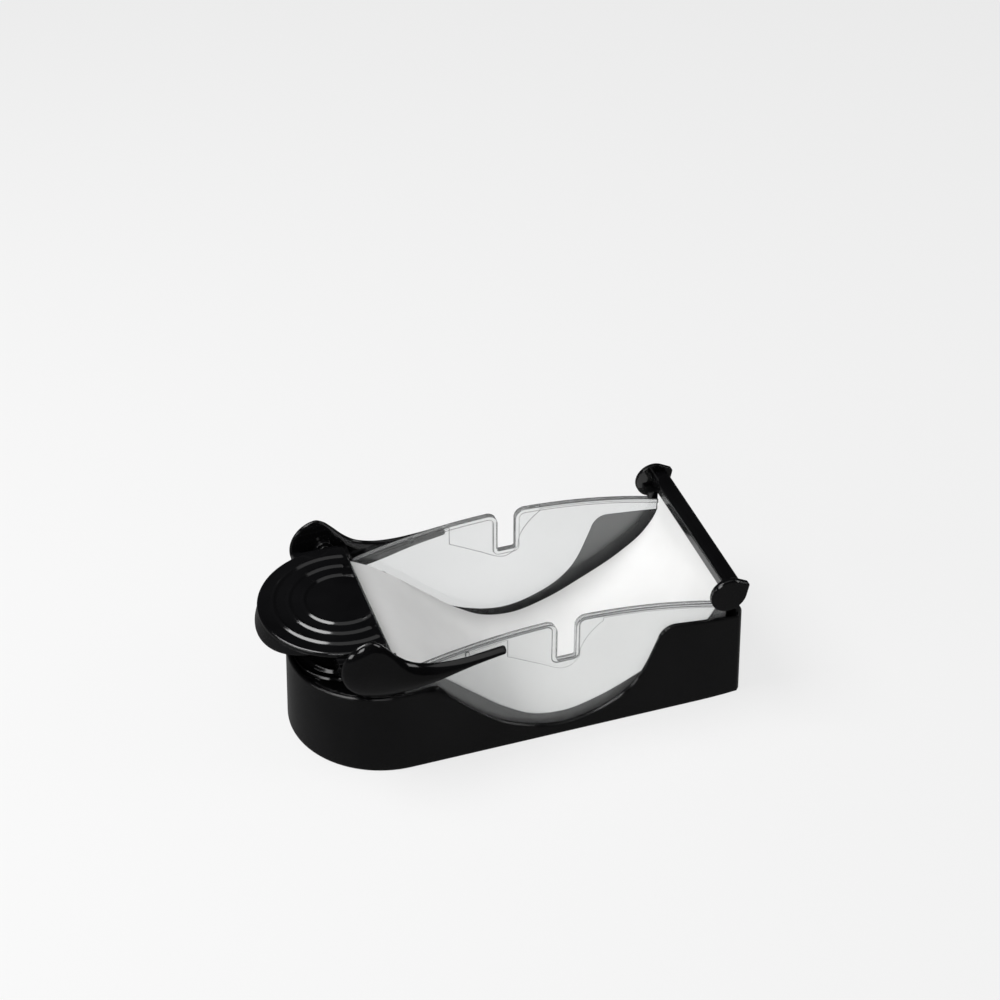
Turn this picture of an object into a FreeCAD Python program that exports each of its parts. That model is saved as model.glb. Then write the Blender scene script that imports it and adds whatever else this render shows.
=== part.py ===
import FreeCAD, Part
import math
import os

# Sushi rice mold press. Millimetres, +Z up. While it is modelled, X = 0 is the middle of the cheeks'
# notches, +X runs to the straight end and the round end lies at -X. Y = 0 is the middle plane and the
# table is Z = 0. save() then moves every piece so that the origin is the middle of the outer box.

V = FreeCAD.Vector
UP = V(0, 0, 1)
ACROSS = V(0, 1, 0)
SIDES = {"front": -1, "back": 1}

# ---- Base shell: a tub with one round end ----
BASE_HALF = 59.6            # half width at the bottom
ROUND_X = -98.3             # centre of the round end
END_X = 115.8               # straight end, at the bottom
DRAFT_TOP = 75.0            # height at which the two leans below are reached
SIDE_LEAN = 0.5
ROUND_LEAN = 2.6
END_LEAN = 2.2
TUCK_X = 88.0               # from here the long sides tuck in towards the straight end
TUCK = 1.3
END_CORNER = 2.2            # its two upright edges are bevelled by this much
WALL = 2.3
RIM_EDGE = 0.8
FLOOR = 2.4
RIM_LOW = 53.6              # height of the round end's rim, furthest left
RIM_HIGH = 59.2             # and where the scoop begins
BOSS_R = 4.0
SCREW_R = 1.5
SCREW_HEAD_R = 3.2
SCREW_HEAD = 2.0
SCREW_GRIP = 12.0
SCREW_PLACE = (14.0, 20.6)  # left of the round end's centre, and in from the long side

# ---- Scoop: the hollow in the top edge of both long walls, as (x, z) on their inner face ----
SCOOP_LEFT = -80.0
SCOOP_LEAD = 4.0            # where the rim begins to bend down into it, left of that
SCOOP = [(-77.6, 55.4), (-60.6, 36.6), (-41.8, 21.2), (-22.6, 12.0), (-1.5, 7.7),
         (22.7, 13.0), (38.7, 22.0), (48.5, 33.5), (54.3, 46.0), (58.6, 57.0)]
SHOULDER = [(61.9, 63.2), (69.0, 66.0)]
CREST_END = 60.6            # height of the crest at the straight end
SCOOP_BEVEL = 0.9           # drop of the wall's top edge from its inner to its outer face
LEFT_BEVEL = [(-98.0, None), (-84.0, 52.4), (-70.5, 44.6)]

# ---- Curled lip on top of the straight end ----
LIP_START = 59.0
LIP_TOP = 70.6
LIP_REACH = 5.6             # how far its edge stands in from the end face
LIP_WALL = 2.6
LIP_ROOT = 4.0              # overlap with the end wall below it
LIP_BEND = (1.1, 7.0)       # its outer side, halfway round: in from its start, and up
LIP_EDGE = (1.95, 1.8)      # from its edge's outer corner to the inner one: in, and down

# ---- Feet ----
FOOT_LONG = 14.0
FOOT_WIDE = 9.0
FOOT_THICK = 2.0
FOOT_PROUD = 0.6
NOSE_FOOT = (29.7, 25.6)    # left of the round end's centre, and in from the long side
END_FOOT = (19.8, 15.6)     # in from the straight end, and in from the long side

# ---- Grip deck on the round end ----
FIT = 0.15                  # gap between pieces that are dropped into each other
DECK_THICK = 3.0
DECK_END = -82.0
DECK_STEP = 1.0             # it narrows this far left of the cheeks
DECK_WELL_X = -121.5
DECK_BORDER = 23.0          # from the well's edge to the inside of the wall
DECK_WELL = 2.0
DECK_RIDGES = (24.0, 30.8)
DECK_RIDGE_WIDTH = 3.2
DECK_RIDGE = 2.4
EAR_HALF = 5.8
EAR_THICK = 3.3
EAR_CLEAR = 0.4             # from the ear to the hub beside it
EAR_FOOT = 9.0              # its foot's width on the deck
EAR_STEP = 3.0              # how far the foot's upright stands in from the plate
EAR_KNEE = 4.0              # height over the rim at which it steps out

# ---- Clear cheeks, with a rolled rim along their convex top ----
CHEEK_GAP = 0.3             # between a cheek and the tub's wall
CHEEK_THICK = 2.2
CHEEK_LEFT = -100.0
CHEEK_RIGHT = 103.0
RAIL_R = 385.0
RAIL_TOP = 86.3
RIM_DEPTH = 2.7
RIM_WIDTH = 3.6
NOTCH_HALF = 5.9
NOTCH_FLOOR = 57.3
NOTCH_CORNER = 6.5
NOTCH_HEEL = 1.2
PANEL_STEP = 0.35
PANEL_EDGE = [(-37.0, 69.0), (-21.0, 60.3), (-13.4, 56.0), (-6.5, 52.0), (0.0, 50.6),
              (5.6, 53.6), (8.8, 62.5), (14.7, 73.1), (23.0, 80.6)]
REST_X = -62.0
REST_WIDTH = 2.2
REST_DEPTH = 1.3
REST_DROP = 4.0
LUG_LENGTH = 12.0
LUG_DEPTH = 5.0

# ---- Rolling film, as (x, z) along its upper side ----
FILM_CLEAR = 4.9            # between the film's edge and a cheek's rim
FILM_THICK = 0.6
FILM_GAP = 0.3
FILM_LINE = [(-103.0, 78.0), (-92.0, 71.5), (-79.0, 61.5), (-55.0, 40.0), (-35.0, 22.8), (-17.0, 12.2),
             (2.0, 9.4), (24.0, 14.4), (48.6, 25.4), (75.8, 40.6), (90.0, 52.0), (98.5, 64.5)]
FILM_UNDER = 3.2            # its right end lies under the bar, so far left of its middle

# ---- Lever: pivot, paddle, hubs and arms ----
PIVOT_X = -117.5
PIVOT_Z = 85.3
PIN_R = 3.4
PIN_RUNNING = 0.05
PIN_SEAT = 0.02
PIN_SHOW = 0.8              # how far the pin stands out of the ear
PADDLE_X = -121.5
PADDLE_IN = 9.3             # how much smaller its radius is than the tub's half width
PADDLE_TOP = 91.0
PADDLE_CAP = 3.0
PADDLE_RIDGES = (22.7, 31.5, 40.7)
PADDLE_RIDGE = 1.3
PADDLE_RIDGE_WIDTH = 3.4
PADDLE_RIGHT = -107.5
SKIRT_FLARE = 2.1           # the skirt flares out towards its lower edge
SKIRT_LOW = 78.8            # lowest at the nose of the paddle
SKIRT_RISE = 0.40           # and climbing towards the hubs
SKIRT_WALL = 2.6
SKIRT_INSET = 0.6           # at its top it stands in under the cap's edge
YOKE_RIGHT = -109.4
YOKE_CLEAR = 1.0
SHOULDER_LOW = 79.5
SHOULDER_HIGH = 6.0
RIB_Y = 18.0
RIB_HIGH = 4.0
SHOULDER_OUT = (-138.0, -132.0)
SHOULDER_IN = 6.4
SHOULDER_IN_HIGH = 4.0
HUB_LEFT = -138.3
HUB_TOP = (-121.0, 105.4)
HUB_LOW = (-126.0, 66.4)
NECK = [(-116.4, 103.2), (-110.8, 97.8), (-104.4, 90.6), (-97.4, 84.8),
        (-86.0, 80.3), (-72.0, 78.5), (-57.0, 78.8)]
NECK_DROP = [0.0, 0.5, 2.0, 4.0, 6.0, 3.0, 0.6]   # how much lower its inner edge runs
BELLY = [(-60.0, 72.2), (-81.0, 66.6), (-93.5, 64.0), (-106.0, 62.9), (-117.5, 63.9)]
ARM_TIP = -39.0
ARM_TIP_TOP = 80.3
ARM_TIP_LOW = 75.8
ARM_TIP_ROUND = 2.0
ARM_CLEAR = 1.3             # between an arm and the cheek's rim
HUB_THICK = 8.0
ARM_THICK = 5.4
ARM_EDGE = 1.2
CLAMP_WIDTH = 5.0
CLAMP_THICK = 2.4
CLAMP_Z = 79.0

# ---- Roller bar ----
BAR_X = 105.8
BAR_Z = 84.0
BAR_WIDE = 10.6
BAR_HIGH = 10.8
BAR_ROUND = 3.0
BAR_CLEAR = 2.7             # between an end plate and the cheek's rim
FLANGE_X = 101.6
FLANGE_Z = 83.2
FLANGE_R = 11.6
FLANGE_TIP_X = 112.2
FLANGE_TIP_Z = 88.2
FLANGE_TIP_R = 2.2
FLANGE_THICK = 3.6
FLANGE_ROUND = 1.0
SHOE_LEFT = 96.4
SHOE_WIDTH = 6.2
SHOE_INSET = 0.5            # its inner side stands out from the rim's
SHOE_RUNNING = 0.2

# ---- Worked out from the above ----
SHELL_LOW = FOOT_PROUD
FLOOR_TOP = SHELL_LOW + FLOOR
BASE_LEFT = ROUND_X - BASE_HALF
SCREW_PLACES = [(ROUND_X - SCREW_PLACE[0], BASE_HALF - SCREW_PLACE[1])]
FOOT_PLACES = [(ROUND_X - NOSE_FOOT[0], BASE_HALF - NOSE_FOOT[1]),
               (END_X - END_FOOT[0], BASE_HALF - END_FOOT[1])]
CAVITY_HALF = BASE_HALF - WALL
CHEEK_OUTER = CAVITY_HALF - CHEEK_GAP
RIM_OUTER = CAVITY_HALF
RIM_INNER = RIM_OUTER - RIM_WIDTH
FILM_HALF = RIM_INNER - FILM_CLEAR
FILM_TOP_X = BAR_X - FILM_UNDER
ARM_INNER = RIM_OUTER + ARM_CLEAR
EAR_INNER = ARM_INNER - EAR_CLEAR - EAR_THICK
PIN_INNER = EAR_INNER - PIN_SHOW
BAR_HALF = RIM_OUTER + BAR_CLEAR
SHOE_INNER = RIM_INNER + SHOE_INSET
DECK_WELL_R = CAVITY_HALF - DECK_BORDER
PADDLE_R = BASE_HALF - PADDLE_IN
SKIRT_R = PADDLE_R + SKIRT_FLARE
CAVITY_ROUND_X = ROUND_X + ROUND_LEAN - SIDE_LEAN
RAIL_Z = RAIL_TOP - RAIL_R
RIM_SLOPE = (RIM_HIGH - RIM_LOW) / (SCOOP_LEFT - BASE_LEFT)
RIM_TILT = math.degrees(math.atan(RIM_SLOPE))
MIDDLE_X = (PADDLE_X - SKIRT_R + END_X) / 2
FAR = 200.0
PAST = 1.0                  # how far a cutting shape runs past the face that it cuts
NEAR = 0.3                  # how far from its sought place an edge may be found
ARC_FIT = 0.05              # how closely a chain of arcs follows its curve


def line(a, b):
    return Part.LineSegment(a, b).toShape()


def arc(a, middle, b):
    return Part.Arc(a, middle, b).toShape()


def curve(points):
    spline = Part.BSplineCurve()
    spline.interpolate(points)
    return spline.toShape()


def arcs(points):
    """The smooth curve through the points as a chain of arcs, each running on from the one before."""
    spline = Part.BSplineCurve()
    spline.interpolate(points)
    return [piece.toShape() for piece in spline.toBiArcs(ARC_FIT)]


def ring(points):
    """A closed wire of straight lines through the points."""
    return Part.makePolygon(list(points) + [points[0]])


def xz(points, y=0.0):
    return [V(x, y, z) for x, z in points]


def across(wire, y0, y1):
    """The wire, which lies in y = 0, filled and drawn out from y0 to y1."""
    solid = Part.Face(wire).extrude(V(0, y1 - y0, 0))
    solid.translate(V(0, y0, 0))
    return solid


def on_side(side, wire, inner, outer):
    return across(wire, *sorted((side * inner, side * outer)))


def upright(radius, x, y, z0, z1):
    return Part.makeCylinder(radius, z1 - z0, V(x, y, z0))


def along_y(radius, x, z, side, inner, outer):
    return Part.makeCylinder(radius, outer - inner, V(x, side * inner, z), V(0, side, 0))


def box(x0, x1, y0, y1, z0, z1):
    return Part.makeBox(x1 - x0, y1 - y0, z1 - z0, V(x0, y0, z0))


def turned(profile, x):
    """A closed (radius, z) outline turned round the upright axis through x."""
    wire = ring([V(x + r, 0, z) for r, z in profile])
    return Part.Face(wire).revolve(V(x, 0, 0), UP, 360)


def round_off(solid, radius, test):
    return solid.makeFillet(radius, [edge for edge in solid.Edges if test(edge)])


def bevel(solid, size, test):
    return solid.makeChamfer(size, [edge for edge in solid.Edges if test(edge)])


def runs_across(edge, x, z):
    """True for a straight edge along Y at about (x, z)."""
    span = edge.BoundBox
    is_across = span.YLength > NEAR and max(span.XLength, span.ZLength) < NEAR / 10
    return is_across and abs(span.XMin - x) < NEAR and abs(span.ZMin - z) < NEAR


def lies_at(edge, y):
    span = edge.BoundBox
    return span.YLength < NEAR / 100 and abs(span.YMin - y) < NEAR / 100


def rim_z(x):
    return RIM_LOW + (x - BASE_LEFT) * RIM_SLOPE


def rail_z(x, offset=0.0):
    return RAIL_Z + math.sqrt((RAIL_R + offset) ** 2 - x ** 2)


def footprint(half, round_x, end_x, tuck_x, tuck, z):
    """Plan outline: a round end about round_x, sides that tuck in from tuck_x, and a straight end."""
    narrow = half - tuck

    def side(s):
        bend = V((tuck_x + end_x) / 2, s * (half - tuck / 4), z)
        return [line(V(round_x, s * half, z), V(tuck_x, s * half, z)),
                arc(V(tuck_x, s * half, z), bend, V(end_x, s * narrow, z))]

    nose = arc(V(round_x, -half, z), V(round_x - half, 0, z), V(round_x, half, z))
    end = line(V(end_x, narrow, z), V(end_x, -narrow, z))
    return Part.Wire([nose] + side(1) + [end] + side(-1)[::-1])


def end_face(z):
    return END_X - END_LEAN * (z - SHELL_LOW) / (DRAFT_TOP - SHELL_LOW)


def outer_form():
    low = footprint(BASE_HALF, ROUND_X, END_X, TUCK_X, TUCK, SHELL_LOW)
    top = footprint(BASE_HALF - SIDE_LEAN, ROUND_X + ROUND_LEAN - SIDE_LEAN, END_X - END_LEAN,
                    TUCK_X, TUCK, DRAFT_TOP)
    form = Part.makeLoft([low, top], True, True)
    return bevel(form, END_CORNER, at_the_end)


def at_the_end(edge):
    """True for the two upright edges where the long sides meet the straight end."""
    span = edge.BoundBox
    return span.ZLength > DRAFT_TOP / 2 and span.XMin > END_X - END_LEAN - PAST


def cavity():
    end = end_face(DRAFT_TOP) - WALL
    wire = footprint(CAVITY_HALF, CAVITY_ROUND_X, end, CHEEK_RIGHT, WALL / 3, FLOOR_TOP)
    return Part.Face(wire).extrude(V(0, 0, DRAFT_TOP))


def scoop_wire(y, bevelled):
    """Everything above this closed outline is cut from the walls."""
    drop = SCOOP_BEVEL if bevelled else 0.0
    if bevelled:
        start, middle, (x, z) = [(p, rim_z(p)) if q is None else (p, q) for p, q in LEFT_BEVEL]
        flank = [(x, z)] + [(p, q - drop) for p, q in SCOOP[1:]]
    else:
        start = (SCOOP_LEFT - SCOOP_LEAD, rim_z(SCOOP_LEFT - SCOOP_LEAD))
        middle = (SCOOP_LEFT, rim_z(SCOOP_LEFT) - SCOOP_LEAD / 4)
        flank = SCOOP
    shoulder = [flank[-1]] + [(p, q - drop) for p, q in SHOULDER]
    left, far_right, sky = BASE_LEFT - WALL, END_X + WALL, DRAFT_TOP + WALL
    lead = xz([(left, rim_z(left)), start, middle, flank[0]], y)
    crest = xz([shoulder[-1], (far_right, CREST_END - drop)], y)
    roof = xz([(far_right, CREST_END - drop), (far_right, sky), (left, sky), (left, rim_z(left))], y)
    edges = [line(a, b) for a, b in zip(lead, lead[1:])] + [curve(xz(flank, y)), arc(*xz(shoulder, y))]
    return Part.Wire(edges + [line(*crest)] + [line(a, b) for a, b in zip(roof, roof[1:])])


def wall_top_cutter():
    inside = across(scoop_wire(0.0, False), -CAVITY_HALF, CAVITY_HALF)
    flanks = []
    for side in SIDES.values():
        inner, outer = side * CAVITY_HALF, side * (BASE_HALF + PAST / 2)
        flanks.append(Part.makeLoft([scoop_wire(inner, False), scoop_wire(outer, True)], True, True))
    return inside.fuse(flanks)


def end_lip(form):
    """The straight end's wall runs on above the side walls and curls inwards."""
    root_x, start_x, root_z = end_face(LIP_START - LIP_ROOT), end_face(LIP_START), LIP_START - LIP_ROOT
    tip_x = end_face(LIP_TOP) - LIP_REACH + LIP_WALL / 2
    bend_x, bend_z = start_x - LIP_BEND[0], LIP_START + LIP_BEND[1]
    edge_x, edge_z = tip_x - LIP_EDGE[0], LIP_TOP - LIP_EDGE[1]
    cap = (tip_x + edge_x - LIP_WALL / 2) / 2, (LIP_TOP + edge_z + LIP_WALL / 2) / 2
    outside = [(start_x, LIP_START), (bend_x, bend_z), (tip_x, LIP_TOP)]
    inside = [(edge_x, edge_z), (bend_x - LIP_WALL, bend_z - LIP_WALL / 2), (start_x - LIP_WALL, LIP_START)]
    root = [inside[-1], (root_x - LIP_WALL, root_z), (root_x, root_z), outside[0]]
    wire = Part.Wire([arc(*xz(outside)), arc(*xz([outside[-1], cap, inside[0]])), arc(*xz(inside))] +
                     [line(*xz(pair)) for pair in zip(root, root[1:])])
    return across(wire, -BASE_HALF, BASE_HALF).common(form)


def round_rim(edge):
    """True for the outer edge along the top of the round end."""
    span = edge.BoundBox
    at_nose = span.XMin < BASE_LEFT + ROUND_LEAN
    at_side = span.XMax < CAVITY_ROUND_X and max(span.YMax, -span.YMin) > CAVITY_HALF + WALL / 2
    return span.ZMin > RIM_LOW - PAST and (at_nose or at_side)


def mirrored_places(places):
    return [(x, s * y) for x, y in places for s in SIDES.values()]


def base_shell():
    form = outer_form()
    shell = form.cut(wall_top_cutter()).cut(cavity())
    shell = bevel(shell, RIM_EDGE, round_rim).fuse(end_lip(form))
    for x, y in mirrored_places(FOOT_PLACES):
        shell = shell.cut(foot(x, y, FIT))
    for x, y in mirrored_places(SCREW_PLACES):
        shell = shell.cut(upright(SCREW_R + FIT, x, y, 0, FAR))
        shell = shell.cut(upright(SCREW_HEAD_R + FIT, x, y, 0, SHELL_LOW + SCREW_HEAD / 2))
    return shell.removeSplitter()


def foot(x, y, room=0.0):
    """A rectangular pad, or with some room around it the pocket that it is glued into."""
    long, wide = FOOT_LONG / 2 + room, FOOT_WIDE / 2 + room
    return box(x - long, x + long, y - wide, y + wide, 0, FOOT_THICK)


def base_screws():
    screws = []
    for x, y in mirrored_places(SCREW_PLACES):
        seat = SHELL_LOW + SCREW_HEAD / 2
        head = upright(SCREW_HEAD_R, x, y, seat - SCREW_HEAD / 2, seat)
        screws.append(head.fuse(upright(SCREW_R, x, y, seat, seat + SCREW_GRIP)).removeSplitter())
    return Part.makeCompound(screws)


def deck_plan():
    """The deck's outline: inside the round end's wall, narrower beside the cheeks."""
    radius = CAVITY_HALF - FIT
    step_x = CHEEK_LEFT - DECK_STEP
    step_y = math.sqrt(radius ** 2 - (step_x - CAVITY_ROUND_X) ** 2)
    narrow = RIM_INNER - 2 * FIT
    points = [(step_x, step_y), (step_x, narrow), (DECK_END, narrow),
              (DECK_END, -narrow), (step_x, -narrow), (step_x, -step_y)]
    lines = [line(V(*a, 0), V(*b, 0)) for a, b in zip(points, points[1:])]
    nose = arc(V(step_x, -step_y, 0), V(CAVITY_ROUND_X - radius, 0, 0), V(step_x, step_y, 0))
    return Part.Wire(lines + [nose])


def rim_slab(low, high):
    """Between two planes that follow the sloping rim, low and high above it."""
    a, b = BASE_LEFT - WALL, DECK_END + WALL
    return across(ring(xz([(a, rim_z(a) + low), (b, rim_z(b) + low), (b, rim_z(b) + high),
                           (a, rim_z(a) + high)])), -FAR, FAR)


def on_rim(solid):
    """Moves a solid made round the upright axis at DECK_WELL_X onto the sloping rim."""
    solid.rotate(V(DECK_WELL_X, 0, 0), ACROSS, -RIM_TILT)
    solid.translate(V(0, 0, rim_z(DECK_WELL_X)))
    return solid


def ridge_ring(radius, width, height, floor, x):
    """A raised ring with sloping flanks."""
    half = width / 2
    return turned([(radius - half, floor), (radius, floor + height), (radius + half, floor)], x)


def ear(side):
    """Upright ear that carries the lever's pin: a foot on the deck and a round-topped plate."""
    left, right, top = PIVOT_X - EAR_HALF, PIVOT_X + EAR_HALF, PIVOT_Z + EAR_HALF
    foot_z = rim_z(left) - DECK_WELL
    knee = rim_z(PIVOT_X) + EAR_KNEE
    outer, step = EAR_INNER + EAR_THICK, EAR_INNER - EAR_STEP
    toe = step - EAR_FOOT
    section = [(toe, foot_z), (step, foot_z), (step, knee - EAR_STEP), (outer, knee + EAR_STEP),
               (outer, top), (EAR_INNER, top), (EAR_INNER, knee + EAR_STEP), (step, knee), (toe, knee)]
    plate = Part.Face(ring([V(left, side * y, z) for y, z in section])).extrude(V(2 * EAR_HALF, 0, 0))
    corners = xz([(right, PIVOT_Z), (right, foot_z), (left, foot_z), (left, PIVOT_Z)])
    crown = arc(corners[-1], V(PIVOT_X, 0, top), corners[0])
    tombstone = Part.Wire([line(a, b) for a, b in zip(corners, corners[1:])] + [crown])
    plate = plate.common(across(tombstone, -FAR, FAR)).common(rim_slab(0, FAR))
    return plate.cut(along_y(PIN_R + PIN_RUNNING, PIVOT_X, PIVOT_Z, side, toe, outer + EAR_FOOT))


def grip_deck():
    plan = Part.Face(deck_plan()).extrude(V(0, 0, FAR))
    deck = plan.common(rim_slab(-DECK_THICK, 0))
    top = rim_z(DECK_END) - DECK_THICK / 2
    bulkhead = plan.common(box(DECK_END - DECK_THICK, DECK_END, -FAR, FAR, FLOOR_TOP, top))
    deck = deck.fuse(bulkhead)
    deck = deck.cut(on_rim(upright(DECK_WELL_R, DECK_WELL_X, 0, -DECK_WELL, FAR)))
    for radius in DECK_RIDGES:
        deck = deck.fuse(on_rim(ridge_ring(radius, DECK_RIDGE_WIDTH, DECK_RIDGE, -DECK_WELL, DECK_WELL_X)))
    for x, y in mirrored_places(SCREW_PLACES):
        deck = deck.fuse(upright(BOSS_R, x, y, FLOOR_TOP, rim_z(x) - (DECK_THICK + DECK_WELL) / 2))
        deck = deck.cut(upright(SCREW_R, x, y, 0, FLOOR_TOP + SCREW_GRIP + SCREW_HEAD))
    return deck.fuse([ear(side) for side in SIDES.values()]).removeSplitter()


def cheek_outline(inset):
    """A cheek's outline, its top edge and notch moved in by inset."""
    left, right = CHEEK_LEFT, CHEEK_RIGHT
    half, floor = NOTCH_HALF + inset, NOTCH_FLOOR - inset
    if inset:
        left, right = left - PAST, right + PAST
    edge = [V(x, 0, rail_z(x, -inset)) for x in (left, (left - half) / 2, -half)]
    far_edge = [V(x, 0, rail_z(x, -inset)) for x in (half, (right + half) / 2, right)]
    low_z = FLOOR_TOP - PAST if inset else FLOOR_TOP
    lines = [edge[-1], V(-half, 0, floor), V(half, 0, floor), far_edge[0]]
    rest = [far_edge[-1], V(right, 0, low_z), V(left, 0, low_z), edge[0]]
    edges = [arc(*edge)] + [line(a, b) for a, b in zip(lines, lines[1:])] + [arc(*far_edge)]
    return Part.Wire(edges + [line(a, b) for a, b in zip(rest, rest[1:])])


def notch_rounded(solid, inset):
    """Rounds the notch's two upper and two lower corners."""
    half = NOTCH_HALF + inset
    top, floor = rail_z(half, -inset), NOTCH_FLOOR - inset
    for z, radius in ((top, NOTCH_CORNER - inset), (floor, NOTCH_HEEL + inset)):
        solid = round_off(solid, radius, lambda edge: any(runs_across(edge, x, z) for x in (-half, half)))
    return solid


def raised_panel(side):
    """The thicker field round the notch, from the rim down to a flowing border line."""
    a, b = PANEL_EDGE[0], PANEL_EDGE[-1]
    rest = xz([b, (b[0], RAIL_TOP), (a[0], RAIL_TOP), a])
    wire = Part.Wire(arcs(xz(PANEL_EDGE)) + [line(*pair) for pair in zip(rest, rest[1:])])
    panel = on_side(side, wire, CHEEK_OUTER - CHEEK_THICK / 4, CHEEK_OUTER + PANEL_STEP)
    form = notch_rounded(on_side(side, cheek_outline(0.0), 0, FAR), 0.0)
    return panel.common(form)


def clear_cheek(side):
    inner = CHEEK_OUTER - CHEEK_THICK
    plate = notch_rounded(on_side(side, cheek_outline(0.0), inner, CHEEK_OUTER), 0.0)
    rim = notch_rounded(on_side(side, cheek_outline(0.0), RIM_INNER, RIM_OUTER), 0.0)
    core = notch_rounded(on_side(side, cheek_outline(RIM_DEPTH), 0, FAR), RIM_DEPTH)
    lug_x, lug_sides = CHEEK_LEFT + LUG_LENGTH, sorted((side * RIM_INNER, side * RIM_OUTER))
    lug = box(CHEEK_LEFT, lug_x, *lug_sides, rail_z(lug_x) - LUG_DEPTH, RAIL_TOP)
    rest_left, rest_top = REST_X - REST_WIDTH / 2, rail_z(REST_X) - RIM_DEPTH / 2
    rest_sides = sorted((side * inner, side * (CHEEK_OUTER + REST_DEPTH)))
    rest = box(rest_left, rest_left + REST_WIDTH, *rest_sides, rest_top - REST_DROP, rest_top)
    form = on_side(side, cheek_outline(0.0), 0, FAR)
    pieces = [rim.cut(core), lug.common(form), rest, raised_panel(side)]
    return plate.fuse(pieces).removeSplitter()


def film():
    """The soft film, hanging as a trough between the lever's clamp and the roller bar."""
    top = (FILM_TOP_X, BAR_Z - BAR_HIGH / 2 - FILM_GAP)
    upper = xz(FILM_LINE + [top])
    spline = Part.BSplineCurve()
    spline.interpolate(upper)
    lower = []
    for point in upper:
        along = spline.tangent(spline.parameter(point))[0]
        lower.append(point + V(along.z, 0, -along.x) * FILM_THICK)
    lower[-1].z = top[1]
    ends = line(upper[-1], lower[-1]), line(lower[0], upper[0])
    wire = Part.Wire(arcs(upper) + [ends[0]] + arcs(lower[::-1]) + [ends[1]])
    return across(wire, -FILM_HALF, FILM_HALF)


def paddle_cap():
    """The round grip plate with its ridges, cut straight beside the film."""
    low, lip = PADDLE_TOP - PADDLE_CAP, PADDLE_CAP / 2
    profile = [(0, low), (PADDLE_R, low), (PADDLE_R, PADDLE_TOP - lip), (PADDLE_R - lip, PADDLE_TOP),
               (0, PADDLE_TOP)]
    cap = turned(profile, PADDLE_X)
    for radius in PADDLE_RIDGES:
        cap = cap.fuse(ridge_ring(radius, PADDLE_RIDGE_WIDTH, PADDLE_RIDGE, PADDLE_TOP, PADDLE_X))
    return cap.cut(box(PADDLE_RIGHT, FAR, -FAR, FAR, 0, FAR)).removeSplitter()


def drum(narrow):
    """A flared drum under the cap, its wall moved in by narrow."""
    top = PADDLE_TOP - PADDLE_CAP
    flank = [(SKIRT_R - narrow, SKIRT_LOW), (PADDLE_R - SKIRT_INSET - narrow, top)]
    return turned([(0, SKIRT_LOW)] + flank + [(0, top)], PADDLE_X)


def skirt():
    """The drum's wall, its lower edge climbing from the paddle's nose towards the hubs."""
    nose = PADDLE_X - SKIRT_R
    climb = [(nose, SKIRT_LOW), (nose + FAR, SKIRT_LOW + SKIRT_RISE * FAR), (nose + FAR, 0), (nose, 0)]
    return drum(0).cut(drum(SKIRT_WALL)).cut(across(ring(xz(climb)), -FAR, FAR))


def lever_yoke():
    """The skirt under the paddle's cap, and the beam whose shoulders reach the two hubs."""
    top = PADDLE_TOP - PADDLE_CAP
    left, ear_gap, wall = SHOULDER_OUT[0], EAR_INNER - YOKE_CLEAR, SKIRT_WALL
    under_cap = drum(wall / 2)
    ribs = [under_cap.common(box(-FAR, left, y - wall / 2, y + wall / 2, top - RIB_HIGH, top))
            for y in (-RIB_Y, 0, RIB_Y)]
    beam = box(left, YOKE_RIGHT, -ear_gap, ear_gap, SHOULDER_LOW, top)
    shoulders = []
    for side in SIDES.values():
        root, end = side * (ear_gap - CLAMP_WIDTH), side * ARM_INNER
        reach = *sorted((root, end)), SHOULDER_LOW
        shoulders.append(box(*SHOULDER_OUT, *reach, SHOULDER_LOW + SHOULDER_HIGH))
        shoulders.append(box(YOKE_RIGHT, YOKE_RIGHT + SHOULDER_IN, *reach, SHOULDER_LOW + SHOULDER_IN_HIGH))
    return skirt().fuse(ribs + [beam] + shoulders).removeSplitter()


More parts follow.
